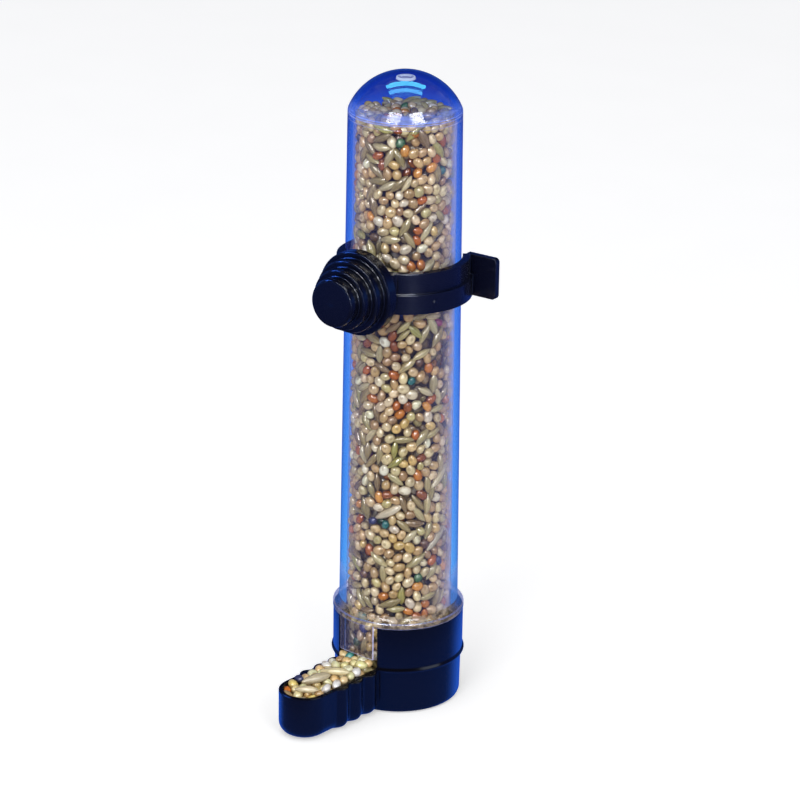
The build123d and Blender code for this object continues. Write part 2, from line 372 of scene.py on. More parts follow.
def tube_profile():
    """(r, z) from the top centre down the outside and back up the inside."""
    shoulder_r = tube_r(SHOULDER_Z)
    points = [(r, DOME_Z + math.sqrt(DOME_R * DOME_R - r * r)) for r in (0.0, 0.5, 1.1, 1.7)]
    points += dome_arc(DOME_R, start_r=2.5, end_r=shoulder_r - 0.16, steps=30)
    shoulder_low = (tube_r(SHOULDER_LOW_Z), SHOULDER_LOW_Z)
    points += curve_between(points[-1], (shoulder_r, SHOULDER_Z), shoulder_low, 6)
    for z in (SHOULDER_LOW_Z, 130.5, 127, 122, *range(116, 31, -6), 27, 24.5, 23.0):
        points.append((tube_r(z), float(z)))
    flange_start = FLANGE_AND_SKIRT[0]
    flare_corner = (tube_r(21.5) + 0.02, flange_start[1])
    points += curve_between(points[-1], flare_corner, flange_start, 7)
    points += FLANGE_AND_SKIRT
    points += [(BORE_R, z) for z in (7.0, 12.0, 16.0, 20.0, BORE_TAPER_Z)]
    for z in (27, *range(38, 123, 12), 129, 131.2):
        points.append((float(bore_r(z)), float(z)))
    points.append((BORE_SHOULDER_R + 0.002, BORE_SHOULDER_Z - 0.12))
    points += dome_arc(BORE_DOME_R, start_r=BORE_SHOULDER_R, end_r=2.2, steps=22)
    points += [(r, DOME_Z + BORE_DOME_R + dz) for r, dz in CORE_PIN_MARK]
    return points


def lathe(name, profile, segments):
    """Surface of revolution about Z from an (r, z) profile that starts and ends on the axis."""
    rings = profile[1:-1]
    verts = [(0.0, 0.0, profile[0][1] * MM)]
    for r, z in rings:
        for i in range(segments):
            a = 2 * math.pi * i / segments
            verts.append((r * MM * math.cos(a), r * MM * math.sin(a), z * MM))
    verts.append((0.0, 0.0, profile[-1][1] * MM))
    following = [(i, (i + 1) % segments) for i in range(segments)]
    faces = [(0, 1 + i, 1 + j) for i, j in following]
    for k in range(len(rings) - 1):
        b0, b1 = 1 + k * segments, 1 + (k + 1) * segments
        faces += [(b0 + i, b1 + i, b1 + j, b0 + j) for i, j in following]
    b0, last = 1 + (len(rings) - 1) * segments, len(verts) - 1
    faces += [(b0 + i, last, b0 + j) for i, j in following]
    return new_object(name, verts, faces)


def block(name, lo, hi):
    """Box between two corners."""
    bm = bmesh.new()
    bmesh.ops.create_cube(bm, size=1.0)
    for v in bm.verts:
        for k in range(3):
            v.co[k] = (lo[k] if v.co[k] < 0 else hi[k]) * MM
    mesh = bpy.data.meshes.new(name)
    bm.to_mesh(mesh)
    bm.free()
    return link_object(name, mesh)


def boolean(ob, other, operation):
    """Applies a boolean with another object, which is used up."""
    modifier = ob.modifiers.new("cut", "BOOLEAN")
    modifier.operation = operation
    modifier.solver = "EXACT"
    modifier.object = other
    bpy.context.view_layer.update()
    depsgraph = bpy.context.evaluated_depsgraph_get()
    result = bpy.data.meshes.new_from_object(ob.evaluated_get(depsgraph))
    ob.modifiers.clear()
    old = ob.data
    ob.data = result
    bpy.data.meshes.remove(old)
    bpy.data.objects.remove(other)


def build_pane():
    """Window pane over the outlet, up into the flange, hollowed to the bore."""
    pane = block(
        "window_pane", (-PANE_HALF, PANE_Y, PANE_Z), (PANE_HALF, -10.6, FLANGE_Z + 0.35)
    )
    bm = bmesh.new()
    bm.from_mesh(pane.data)
    outer_sides = [
        e
        for e in bm.edges
        if all(v.co.y < -0.013 for v in e.verts)
        and abs(e.verts[0].co.x - e.verts[1].co.x) < 1e-6
    ]
    bmesh.ops.bevel(
        bm, geom=outer_sides, offset=0.55 * MM, segments=3, profile=0.5, affect="EDGES"
    )
    bottom = [e for e in bm.edges if all(v.co.z < (PANE_Z + 0.01) * MM for v in e.verts)]
    bmesh.ops.bevel(bm, geom=bottom, offset=0.22 * MM, segments=2, profile=0.6, affect="EDGES")
    bm.to_mesh(pane.data)
    bm.free()
    cut_r = BORE_R - 0.004
    cutter = [(0.0, 25.0), (cut_r, 25.0), (cut_r, 5.0), (0.0, 5.0)]
    boolean(pane, lathe("bore_cut", cutter, LATHE_SEGMENTS), "DIFFERENCE")
    return pane


WALL_KINDS = ("outer", "inner", "edge", "rim", "pane", "mark", "bar")


def wall_kind(face):
    """Which clear material a face of the tube takes, by its place and direction."""
    c = face.calc_center_median() / MM
    r = math.hypot(c.x, c.y)
    normal = face.normal
    inward = (normal.x * c.x + normal.y * c.y) < 0 or normal.z < -0.5
    if 138.7 < c.z < 139.4 and r < 2.1:
        return "mark"
    if inward and r < float(bore_r(c.z)) + 0.06 and c.z > 1.9:
        return "inner"
    if 138.0 < c.z < 139.2 and inward:
        return "inner"
    flange_corner = 21.04 < c.z < 21.4 or 19.98 < c.z < 20.18
    if r > 14.0 and flange_corner and abs(normal.z) < 0.985:
        return "rim"
    under_pane = c.y < -13.6 and abs(c.x) < 4.4 and c.z < 20.3
    if 19.95 < c.z < 22.4 and r > 12.98 and not under_pane:
        return "edge"
    if c.z < 20.5 and c.y < -11.6 and abs(c.x) < 5.0 and r < 14.8:
        if normal.y < -0.96:
            return "pane"
        if abs(normal.x) > 0.96 or normal.z < -0.96 or normal.y > 0.5:
            return "inner"
        return "bar"
    return "edge" if c.z < 2.1 else "outer"


def build_tube():
    tube = lathe("clear_tube", tube_profile(), LATHE_SEGMENTS)
    outlet = block("outlet_cut", (-OUTLET_HALF, -16.0, 0.6), (OUTLET_HALF, -9.0, PANE_Z))
    boolean(tube, outlet, "DIFFERENCE")
    boolean(tube, build_pane(), "UNION")
    bm = bmesh.new()
    bm.from_mesh(tube.data)
    bmesh.ops.remove_doubles(bm, verts=bm.verts, dist=1e-6)
    bmesh.ops.recalc_face_normals(bm, faces=bm.faces)
    for face in bm.faces:
        face.smooth = True
        face.material_index = WALL_KINDS.index(wall_kind(face))
    bm.to_mesh(tube.data)
    bm.free()
    tube.data.set_sharp_from_angle(angle=math.radians(32))
    return tube


# ------------------------------------------------------------------ clear tube: materials
# Per kind of wall:
#   reflect     reflectance seen straight on
#   rough       least roughness of the reflection
#   haze        colour of the milky haze, which is partly real haze and partly painted glow and highlights
#   bloom       haze by how far the wall turns away, as (turn, amount); the bright turned edges are painted glow
#   back_fade   how much of the haze is lost on back faces
CLEAR_WALLS = {
    # outer: real haze, with painted glow near the outline; see outer_haze
    "outer": dict(
        reflect=0.055, rough=0.015, haze=srgb(184, 188, 244), back_fade=1.0,
        bloom=((0.05, 0.0), (0.30, 0.09), (0.45, 0.27), (0.54, 0.42), (0.60, 0.05), (1.0, 0.04)),
    ),
    "inner": dict(
        reflect=0.04, rough=0.03, haze=srgb(190, 190, 230), back_fade=1.0,
        bloom=((0.0, 0.01), (0.5, 0.03), (1.0, 0.03)),
    ),
    # edge: painted glow, painted blue reflection at the sides and a painted image of the seed in
    # front
    "edge": dict(
        reflect=0.035, rough=0.03, haze=srgb(104, 128, 226), back_fade=1.0,
        bloom=((0.0, 0.02), (0.6, 0.05), (0.8, 0.16), (1.0, 0.5)),
    ),
    # rim: painted highlight lines along the flange's corners
    "rim": dict(
        reflect=0.09, rough=0.08, haze=srgb(172, 178, 238), back_fade=0.4,
        bloom=((0.0, 0.32), (0.6, 0.42), (1.0, 0.7)),
    ),
    # pane: painted glow where it turns away
    "pane": dict(
        reflect=0.05, rough=0.03, haze=srgb(176, 168, 206), back_fade=1.0,
        bloom=((0.0, 0.05), (0.5, 0.12), (1.0, 0.5)),
    ),
    # mark: painted highlight rings, see MARK_RINGS
    "mark": dict(reflect=0.06, rough=0.05, haze=srgb(236, 242, 255), back_fade=0.0),
    # bar: painted glow along the pane's bevelled edges
    "bar": dict(
        reflect=0.1, rough=0.08, haze=srgb(206, 206, 246), back_fade=0.7,
        bloom=((0.0, 0.78), (0.6, 0.8), (1.0, 0.6)),
    ),
}
# painted blue reflection of the surroundings on the wall's back faces, as (height / TUBE_TOP,
# colour)
BACK_BLUE = (
    (0.10, srgb(96, 182, 255)), (0.30, srgb(74, 156, 252)), (0.55, srgb(68, 138, 244)),
    (0.86, srgb(56, 108, 222)), (0.930, srgb(44, 94, 208)), (0.955, srgb(8, 54, 176)),
    (0.985, srgb(2, 44, 158)), (1.0, srgb(2, 36, 138)),
)
# the same painted blue where they turn away
BACK_DEEP_BLUE = (
    (0.10, srgb(64, 152, 252)), (0.62, srgb(44, 110, 236)), (0.88, srgb(26, 74, 204)),
    (0.945, srgb(0, 20, 112)), (0.985, srgb(0, 12, 78)),
)
# painted highlight lines where thin mould steps round the shoulder would catch light, as (share of
# the band, haze)
STEP_BAND_Z, STEP_BAND_H = 0.1300, 0.004  # metres
SHOULDER_STEPS = (
    (0.20, 0.0), (0.235, 0.40), (0.27, 0.0), (0.44, 0.0), (0.475, 0.62),
    (0.51, 0.02), (0.57, 0.0), (0.60, 0.58), (0.64, 0.0),
)
# painted highlight rings of the core-pin mark, as (share of its radius, haze)
MARK_R = 0.0021  # metres
MARK_RINGS = (
    (0.0, 0.30), (0.36, 0.34), (0.44, 0.85), (0.52, 0.75),
    (0.60, 0.16), (0.78, 0.24), (0.84, 1.0), (1.0, 1.0),
)


class ClearWall(Shader):
    """Clear polystyrene: a tinted see-through, a reflection and a milky haze. Its blue tint is
    painted reflection of blue surroundings, and its haze also carries painted glow and highlights.
    Heights in metres.
    """

    @cached_property
    def position(self):
        return self.coords()

    @cached_property
    def height(self):
        return self.separate(self.position)[2]

    @cached_property
    def geometry(self):
        return self.node("NewGeometry").outputs

    @cached_property
    def back(self):
        return self.geometry["Backfacing"]

    @cached_property
    def facing(self):
        return self.turned_away()

    def level(self, vector):
        """The vector with its z dropped."""
        return self.vector("MULTIPLY", vector, (1.0, 1.0, 0.0))

    def outer_tint(self):
        """Painted blue reflection: back faces go blue, by height and turn; front faces go blue only
        in the dome.
        """
        share = self.times(self.height, 1.0 / (TUBE_TOP * MM))
        blue = self.ramp(share, BACK_BLUE)
        deep = self.ramp(share, BACK_DEEP_BLUE)
        turned = self.smoothstep(self.facing, start=0.55, end=0.95)
        far = self.mix(turned, blue, deep)
        crown = self.smoothstep(self.height, start=0.1312, end=0.1330)
        near = self.mix(crown, (0.985, 0.985, 0.995), (0.72, 0.80, 1.0))
        return self.mix(self.back, near, far)

    def see_through_tint(self, kind):
        """Colour the camera sees through the wall."""
        if kind == "outer":
            return self.outer_tint()
        if kind == "inner":
            # painted blue reflection on the dome's back faces
            crown = self.smoothstep(self.height, start=0.1322, end=0.1365)
            dome_tint = self.mix(crown, (0.985, 0.985, 1.0), (0.80, 0.86, 1.0))
            return self.mix(self.back, (0.98, 0.98, 0.99), dome_tint)
        if kind == "pane":
            # painted shade: seen from the front, the seed behind the window is darkened
            return self.mix(self.back, (0.74, 0.71, 0.76), (0.9, 0.9, 0.98))
        if kind == "edge":
            # painted blue glow where the flange turns away
            turned = self.math("POWER", self.facing, 3.0)
            return self.mix(turned, (0.93, 0.93, 0.97), srgb(150, 152, 214))
        return self.mix(self.back, (0.88, 0.89, 0.97), (0.80, 0.83, 0.97))

    def outer_haze(self, bloom, haze_colour):
        """Haze amount and colour of the outer wall: real haze, with painted glow where it turns
        away, a painted reflection on the side to the camera's right, painted highlight lines round
        the shoulder and painted blue light above the flange.
        """
        in_dome = self.smoothstep(self.height, start=0.1310, end=0.1326)
        # painted reflection: hazier towards +X+Y, the camera's right
        reflection_side = self.vector(
            "DOT_PRODUCT", self.geometry["Normal"], (0.755, 0.656, 0.0), output="Value"
        )
        bloom = self.times(bloom, self.scaled(reflection_side, gain=0.45, offset=1.0))
        # the dome has its own veil, streaked level
        bloom = self.times(bloom, self.inverse(self.times(in_dome, 0.9)))
        layered = self.stretched(self.position, z_scale=4.2)
        streaks = self.noise(layered, scale=210.0, detail=3.0, rough=0.6)
        streaks = self.smoothstep(streaks, start=0.40, end=0.68)
        veil = self.smoothstep(self.height, start=0.1352, end=0.1332)
        veil = self.plus(0.02, self.times(veil, self.plus(0.30, self.times(streaks, 0.36))))
        amount = self.math("MAXIMUM", bloom, self.times(in_dome, veil))
        # painted highlight lines of the shoulder's mould steps
        above = self.math("SUBTRACT", self.height, STEP_BAND_Z)
        steps = self.ramp(self.times(above, 1.0 / STEP_BAND_H), SHOULDER_STEPS)
        amount = self.plus(amount, steps)
        # above the flange the turned-away wall pipes blue light
        low = self.smoothstep(self.height, start=0.0330, end=0.0265)
        turned = self.smoothstep(self.facing, start=0.50, end=0.60)
        pipe = self.times(low, turned)
        amount = self.math("MAXIMUM", amount, self.times(pipe, 0.86))
        colour = self.mix(in_dome, haze_colour, srgb(128, 156, 255))
        return amount, self.mix(pipe, colour, srgb(92, 146, 236))

    def edge_haze(self, bloom):
        """Haze amount and colour of the flange and skirt rim: lumpy in front, a painted image of
        the seed seen through it, and blue at the sides, a painted reflection.
        """
        outward = self.vector("NORMALIZE", self.level(self.position))
        to_viewer = self.vector("NORMALIZE", self.level(self.geometry["Incoming"]))
        across = self.vector("DOT_PRODUCT", outward, to_viewer, output="Value")
        wing = self.smoothstep(across, start=0.62, end=0.15)
        lumps = self.noise(self.position, scale=620.0, detail=2.0, rough=0.5)
        lumps = self.smoothstep(lumps, start=0.38, end=0.62)
        front = self.times(self.scaled(lumps, gain=0.34, offset=0.16), self.inverse(wing))
        amount = self.math("MAXIMUM", bloom, self.plus(front, self.times(wing, 0.50)))
        return amount, self.mix(wing, srgb(196, 178, 158), srgb(84, 128, 226))

    def mark_haze(self):
        """Painted highlight rings about the axis."""
        radius = self.vector("LENGTH", self.level(self.position), output="Value")
        return self.ramp(self.times(radius, 1.0 / MARK_R), MARK_RINGS)


def wall_material(kind):
    wall = CLEAR_WALLS[kind]
    graph = ClearWall(bpy.data.materials.new("clear_plastic_" + kind))
    rays = graph.light_path()
    camera_ray = rays["Is Camera Ray"]
    # upright moulding ripples, and dust
    upright = graph.stretched(graph.position, z_scale=0.16)
    ripple = graph.noise(upright, scale=55.0, detail=2.0, rough=0.5)
    dust = graph.noise(graph.position, scale=1500.0, detail=3.0, rough=0.65)
    bumped = graph.bump(ripple, strength=0.16, distance=0.0004)

    # reflection grows with the fifth power of turn; weak on back faces, none for shadows
    grazing = graph.math("POWER", graph.facing, 5.0)
    reflect = graph.scaled(grazing, gain=0.62, offset=wall["reflect"])
    reflect = graph.times(reflect, graph.inverse(graph.times(graph.back, 0.75)))
    reflect = graph.times(reflect, graph.inverse(rays["Is Shadow Ray"]))
    roughness = graph.scaled(dust, gain=0.05, offset=wall["rough"])
    gloss = graph.node(
        "BsdfGlossy", {"Color": (1, 1, 1), "Roughness": roughness, "Normal": bumped}
    )
    tint = graph.mix(camera_ray, (0.97, 0.97, 0.975), graph.see_through_tint(kind))
    clear = graph.node("BsdfTransparent", {"Color": tint})
    glassy = graph.mix_shader(reflect, clear.outputs[0], gloss.outputs[0])

    haze = graph.node("BsdfDiffuse", {"Color": wall["haze"]})
    if kind == "mark":
        amount = graph.mark_haze()
    else:
        amount = graph.ramp(graph.facing, wall["bloom"])
    if kind == "outer":
        amount, haze_colour = graph.outer_haze(amount, wall["haze"])
        graph.feed(haze.inputs["Color"], haze_colour)
    elif kind == "edge":
        amount, haze_colour = graph.edge_haze(amount)
        graph.feed(haze.inputs["Color"], haze_colour)
    # dust varies the haze, which also carries the painted glow and highlights
    dust_and_glow = graph.times(graph.scaled(dust, gain=0.9, offset=0.55), amount)
    shown = graph.inverse(graph.times(graph.back, wall["back_fade"]))
    # only the camera sees the haze
    weight = graph.math("MULTIPLY", graph.times(dust_and_glow, shown), camera_ray, clamp=True)
    return graph.finish(graph.mix_shader(weight, glassy, haze.outputs[0]))


tube = build_tube()
for kind in WALL_KINDS:
    tube.data.materials.append(wall_material(kind))
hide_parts("seed_tube")
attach(tube, "tube")

# ------------------------------------------------------------------ seed: shapes
# Per kind of seed:
#   half      half length, half width, half thickness
#   discs     (offset along the seed, radius) of the discs it packs with
#   lump      unevenness of its girth
#   rough     middle roughness
#   palette   sRGB colour and weight
SEEDS = {
    "millet": dict(
        half=(1.22, 1.08, 0.86), discs=((0.0, 1.13),), lump=0.035, rough=0.24,
        palette=(
            (228, 208, 164, 20), (216, 190, 140, 18), (204, 172, 120, 14),
            (238, 226, 198, 12), (212, 196, 150, 12), (190, 160, 112, 9),
            (220, 190, 116, 5), (204, 192, 132, 5), (168, 136, 98, 4),
        ),
    ),
    "canary": dict(
        half=(2.3, 0.96, 0.82), discs=((-1.42, 0.62), (0.0, 0.93), (1.42, 0.62)),
        lump=0.05, rough=0.21,
        palette=(
            (176, 162, 112, 10), (190, 176, 128, 10), (158, 142, 98, 7),
            (206, 194, 150, 6), (178, 172, 100, 4), (148, 126, 90, 4),
        ),
    ),
    "oat": dict(
        half=(3.5, 1.12, 0.95), discs=((-2.3, 0.75), (-0.6, 1.08), (1.1, 1.0), (2.6, 0.62)),
        lump=0.06, rough=0.34,
        palette=((200, 188, 154, 3), (216, 206, 176, 3), (178, 166, 134, 2)),
    ),
    "red": dict(
        half=(1.28, 0.98, 0.86), discs=((-0.2, 0.98), (0.25, 0.95)), lump=0.03, rough=0.18,
        palette=((198, 124, 46, 5), (180, 104, 40, 5), (212, 150, 72, 4), (152, 92, 50, 3)),
    ),
    "pellet": dict(
        half=(1.02, 0.96, 0.86), discs=((0.0, 1.0),), lump=0.09, rough=0.42,
        palette=(
            (56, 60, 108, 6), (42, 46, 86, 4), (50, 116, 116, 3),
            (74, 118, 72, 2.5), (166, 66, 108, 2.5), (112, 82, 56, 3),
        ),
    ),
}
LONG_SEEDS = ("canary", "oat")
# (points round, rings along) by detail, for round and for long seeds
SEED_GRID = {"fine": ((12, 7), (10, 9)), "low": ((8, 4), (7, 6))}


def seed_girth(kind, u):
    """Relative radius at u, which runs -1..1 along the seed."""
    if kind == "millet":
        return np.sqrt(np.clip(1 - u**2, 0, 1)) ** 0.93 * (1 - 0.10 * u - 0.05 * u**2)
    if kind == "red":
        return np.sqrt(np.clip(1 - u**2, 0, 1)) ** 0.96 * (1 - 0.06 * u)
    if kind == "canary":
        return np.clip(1 - np.abs(u) ** 2.0, 0, 1) ** 0.86 * (1 + 0.08 * u)
    if kind == "oat":
        return np.clip(1 - np.abs(u) ** 2.6, 0, 1) ** 0.80 * (1 + 0.14 * u)
    return np.sqrt(np.clip(1 - u**2, 0, 1)) ** 0.8


@cache
def seed_template(kind, detail, variant):
    """Unit seed (x -1..1 along it): vertices, quads, triangles. Variants differ a little."""
    segments, rings = SEED_GRID[detail][kind in LONG_SEEDS]
    rng = np.random.default_rng(77 + variant * 13 + len(kind))
    stations = -np.cos(np.linspace(0, math.pi, rings + 2))[1:-1]
    phase = rng.uniform(0, 2 * math.pi, 6)
    lump = SEEDS[kind]["lump"]
    bend = rng.uniform(-0.12, 0.12) if kind in LONG_SEEDS else 0.0
    verts = [(-1.0, 0.0, 0.0)]
    for u, girth in zip(stations, seed_girth(kind, stations)):
        for i in range(segments):
            a = 2 * math.pi * i / segments
            uneven = 1 + lump * (
                math.sin(a + phase[0] + 2.2 * u)
                + 0.7 * math.sin(2 * a + phase[1] + 3.1 * u)
                + 0.5 * math.sin(3 * a + phase[2] - 2.4 * u)
            )
            # millet has a lens-shaped edge
            flat = 1.0 - 0.10 * abs(math.cos(a)) ** 3 if kind == "millet" else 1.0
            y = girth * math.cos(a) * uneven
            z = girth * math.sin(a) * uneven * flat
            verts.append((u, y + bend * (1 - u * u), z))
    verts.append((1.0, 0.0, 0.0))
    following = [(i, (i + 1) % segments) for i in range(segments)]
    tris = [(0, 1 + j, 1 + i) for i, j in following]
    quads = []
    for k in range(rings - 1):
        b0, b1 = 1 + k * segments, 1 + (k + 1) * segments
        quads += [(b0 + i, b0 + j, b1 + j, b1 + i) for i, j in following]
    b0, last = 1 + (rings - 1) * segments, len(verts) - 1
    tris += [(b0 + i, b0 + j, last) for i, j in following]
    return np.array(verts), np.array(quads), np.array(tris)


# ------------------------------------------------------------------ seed: packing
PAIR_REACH = 2.6  # discs further apart than this are not compared


def close_pairs(points, owner, period):
    """Index pairs of discs of different seeds that lie near each other."""
    order = np.argsort(points[:, 1])
    sorted_y = points[order, 1]
    reach = np.searchsorted(sorted_y, sorted_y + PAIR_REACH)
    repeats = reach - np.arange(len(sorted_y)) - 1
    first = np.repeat(np.arange(len(sorted_y)), repeats)
    start = np.repeat(np.cumsum(repeats) - repeats, repeats)
    second = first + 1 + (np.arange(len(first)) - start)
    a, b = order[first], order[second]
    dx = points[a, 0] - points[b, 0]
    if period:
        dx -= period * np.round(dx / period)
    keep = (np.abs(dx) < PAIR_REACH) & (owner[a] != owner[b])
    return a[keep], b[keep]


def relax(rng, kinds, size, bounds, steps, shrink, confine, period=None):
    """Pushes apart seeds lying in a plane: returns centres and angles.

    bounds is where the seeds start, confine(points, radii) the push that keeps discs in, and
    period the length after which the first coordinate repeats.
    """
    n = len(kinds)
    (x0, x1), (y0, y1) = bounds
    centres = np.column_stack([rng.uniform(x0, x1, n), rng.uniform(y0, y1, n)])
    angles = rng.uniform(0, math.pi, n)
    owner, offset, radius = [], [], []
    for i, kind in enumerate(kinds):
        for disc_offset, disc_radius in SEEDS[kind]["discs"]:
            owner.append(i)
            offset.append(disc_offset * size[i])
            radius.append(disc_radius * size[i] * shrink)
    owner, offset, radius = np.array(owner), np.array(offset), np.array(radius)
    inertia = np.bincount(owner, weights=offset**2 + 0.5 * radius**2, minlength=n)
    disc_count = np.bincount(owner, minlength=n)
    for step in range(steps):
        arm = offset[:, None] * np.column_stack([np.cos(angles[owner]), np.sin(angles[owner])])
        points = centres[owner] + arm
        if step % 5 == 0:
            pair_a, pair_b = close_pairs(points, owner, period)
        gap = points[pair_a] - points[pair_b]
        if period:
            gap[:, 0] -= period * np.round(gap[:, 0] / period)
        distance = np.hypot(gap[:, 0], gap[:, 1]) + 1e-9
        overlap = radius[pair_a] + radius[pair_b] - distance
        hit = overlap > 0
        a, b = pair_a[hit], pair_b[hit]
        push = gap[hit] / distance[hit, None] * overlap[hit, None] * 0.5
        force = np.zeros((len(owner), 2))
        for axis in (0, 1):
            force[:, axis] = np.bincount(a, push[:, axis], len(owner)) - np.bincount(
                b, push[:, axis], len(owner)
            )
        force += confine(points, radius)
        total = np.column_stack([np.bincount(owner, force[:, axis], n) for axis in (0, 1)])
        torque = np.bincount(owner, arm[:, 0] * force[:, 1] - arm[:, 1] * force[:, 0], n)
        rate = 0.75 if step < steps * 0.7 else 0.5
        centres += total / np.sqrt(disc_count)[:, None] * rate
        angles += np.clip(torque / inertia * 0.5, -0.25, 0.25)
        if period:
            centres[:, 0] = np.mod(centres[:, 0], period)
    return centres, angles


def draw_seeds(rng, n, shares, spread, smallest, largest):
    """Random kinds by share, and random sizes about 1."""
    names = list(shares)
    weights = np.array([shares[name] for name in names], float)
    picks = rng.choice(len(names), size=n, p=weights / weights.sum())
    return [names[i] for i in picks], rng.normal(1.0, spread, n).clip(smallest, largest)


def pick_colour(rng, kind):
    palette = SEEDS[kind]["palette"]
    weights = np.array([entry[3] for entry in palette], float)
    pick = palette[rng.choice(len(palette), p=weights / weights.sum())]
    colour = np.array(srgb(*pick[:3]))
    colour = colour * rng.uniform(0.84, 1.14)
    colour = colour * np.array([1.0, rng.uniform(0.97, 1.03), rng.uniform(0.90, 1.08)])
    return np.clip(colour, 0.001, 0.95)


class SeedBatch:
    """Seeds of one kind merged into one mesh, with colour and place on the seed as attributes."""

    def __init__(self):
        self.verts, self.quads, self.tris = [], [], []
        self.colours, self.places, self.count = [], [], 0

    def add(self, verts, quads, tris, colour, unit):
        self.verts.append(verts)
        self.quads.append(quads + self.count)
        self.tris.append(tris + self.count)
        self.colours.append(np.tile(np.append(colour, 1.0), (len(verts), 1)))
        self.places.append(unit)
        self.count += len(verts)

    def build(self, name, material, body, slot):
        verts = np.vstack(self.verts) * MM
        quads, tris = np.vstack(self.quads), np.vstack(self.tris)
        face_count = len(quads) + len(tris)
        mesh = bpy.data.meshes.new(name)
        mesh.vertices.add(len(verts))
        mesh.vertices.foreach_set("co", verts.astype(np.float32).ravel())
        loops = np.concatenate([quads.ravel(), tris.ravel()]).astype(np.int32)
        mesh.loops.add(len(loops))
        mesh.loops.foreach_set("vertex_index", loops)
        mesh.polygons.add(face_count)
        starts = np.concatenate(
            [np.arange(len(quads)) * 4, len(quads) * 4 + np.arange(len(tris)) * 3]
        ).astype(np.int32)
        mesh.polygons.foreach_set("loop_start", starts)
        mesh.polygons.foreach_set("use_smooth", np.ones(face_count, bool))
        mesh.update(calc_edges=True)
        mesh.validate()
        colours = mesh.attributes.new("seed_col", "FLOAT_COLOR", "POINT")
        colours.data.foreach_set("color", np.vstack(self.colours).astype(np.float32).ravel())
        places = mesh.attributes.new("seed_loc", "FLOAT_VECTOR", "POINT")
        places.data.foreach_set("vector", np.vstack(self.places).astype(np.float32).ravel())
        ob = link_object(name, mesh)
        mesh.materials.append(material)
        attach(ob, body)
        return ob


def place(batches, rng, kind, size, centre, axes, detail, fit=None, light_shade_tone=1.0):
    """Adds one seed; axes are its length, width and thickness, fit moves its finished points, and
    the tone factor scales its colour as painted light or shade.
    """
    unit, quads, tris = seed_template(kind, detail, int(rng.integers(4)))
    half = np.array(SEEDS[kind]["half"]) * size
    half = half * np.array(
        [rng.uniform(0.93, 1.12), rng.uniform(0.90, 1.05), rng.uniform(0.90, 1.06)]
    )
    verts = centre + unit * half @ np.array(axes)
    if fit is not None:
        verts = fit(verts)
    colour = np.clip(pick_colour(rng, kind) * light_shade_tone, 0.001, 0.96)
    batches.setdefault(kind, SeedBatch()).add(verts, quads, tris, colour, unit)


def lying_axes(along, up):
    """Length, width and thickness axes of a seed lying along one way with another way up."""
    along = np.array(along)
    along /= np.linalg.norm(along)
    across = np.cross(up, along)
    across /= np.linalg.norm(across)
    return along, across, np.cross(along, across)


# ------------------------------------------------------------------ seed: layers in the tube
def outward(verts):
    """Level direction from the tube's axis to the middle of the points."""
    middle = verts.mean(0)
    direction = np.array([middle[0], middle[1], 0.0])
    return direction / (np.linalg.norm(direction) + 1e-9)


def bore_gap(verts):
    return (bore_r(verts[:, 2]) - np.hypot(verts[:, 0], verts[:, 1])).min()


def wall_fit(gap):
    """Slides a seed along its radius until that gap is left to the bore."""

    def fit(verts):
        direction = outward(verts)
        for _ in range(3):
            verts = verts + direction * (bore_gap(verts) - gap)
        return verts

    return fit


def heap_fit(verts):
    """Moves a seed in, and a little down, until it is clear of the bore."""
    for _ in range(4):
        room = bore_gap(verts) - 0.08
        if room >= 0:
            break
        verts = verts + outward(verts) * room + np.array([0, 0, room * 0.3])
    return verts


TUBE_SIZES = dict(spread=0.065, smallest=0.82, largest=1.15)


def wall_layer(batches, seed, n, inset, gap_spread, detail, tilt, light_shade_tone):
    """Seeds standing inset from the bore, from the skirt's rim to the heap; the tone factor
    brightens or darkens them as painted light or shade.
    """
    rng = np.random.default_rng(seed)
    kinds, size = draw_seeds(rng, n, TUBE_MIX, **TUBE_SIZES)
    layer_r = 10.95 - inset
    girth = 2 * math.pi * layer_r
    low, high = SKIRT_Z + 0.15, SEED_TOP + 0.3

    def confine(points, radius):
        z = points[:, 1]
        lift = np.maximum(low + radius - z, 0) - np.maximum(z + radius - high, 0)
        return np.column_stack([np.zeros(len(z)), lift])

    centres, angles = relax(
        rng, kinds, size, ((0, girth), (low, high)), steps=170, shrink=0.985,
        confine=confine, period=girth,
    )
    upward = np.array([0.0, 0.0, 1.0])
    for i, kind in enumerate(kinds):
        long_seed = kind in LONG_SEEDS
        a = centres[i, 0] / layer_r
        radial = np.array([math.cos(a), math.sin(a), 0.0])
        around = np.array([-math.sin(a), math.cos(a), 0.0])
        cos, sin = math.cos(angles[i]), math.sin(angles[i])
        along = cos * around + sin * upward
        across = -sin * around + cos * upward
        thick = radial
        # a little roll about its length, and pitch out of the wall's plane
        roll = rng.normal(0, tilt)
        if long_seed:
            roll = rng.uniform(0, 2 * math.pi)
        cos, sin = math.cos(roll), math.sin(roll)
        across, thick = cos * across + sin * thick, cos * thick - sin * across
        pitch = rng.normal(0, tilt * (0.35 if long_seed else 0.8))
        cos, sin = math.cos(pitch), math.sin(pitch)
        along, thick = cos * along + sin * thick, cos * thick - sin * along
        r = float(bore_r(centres[i, 1])) - inset - 1.2
        centre = radial * r + upward * centres[i, 1]
        fit = wall_fit(inset + 0.05 + abs(rng.normal(0, gap_spread)))
        place(batches, rng, kind, size[i], centre, (along, across, thick), detail, fit, light_shade_tone)


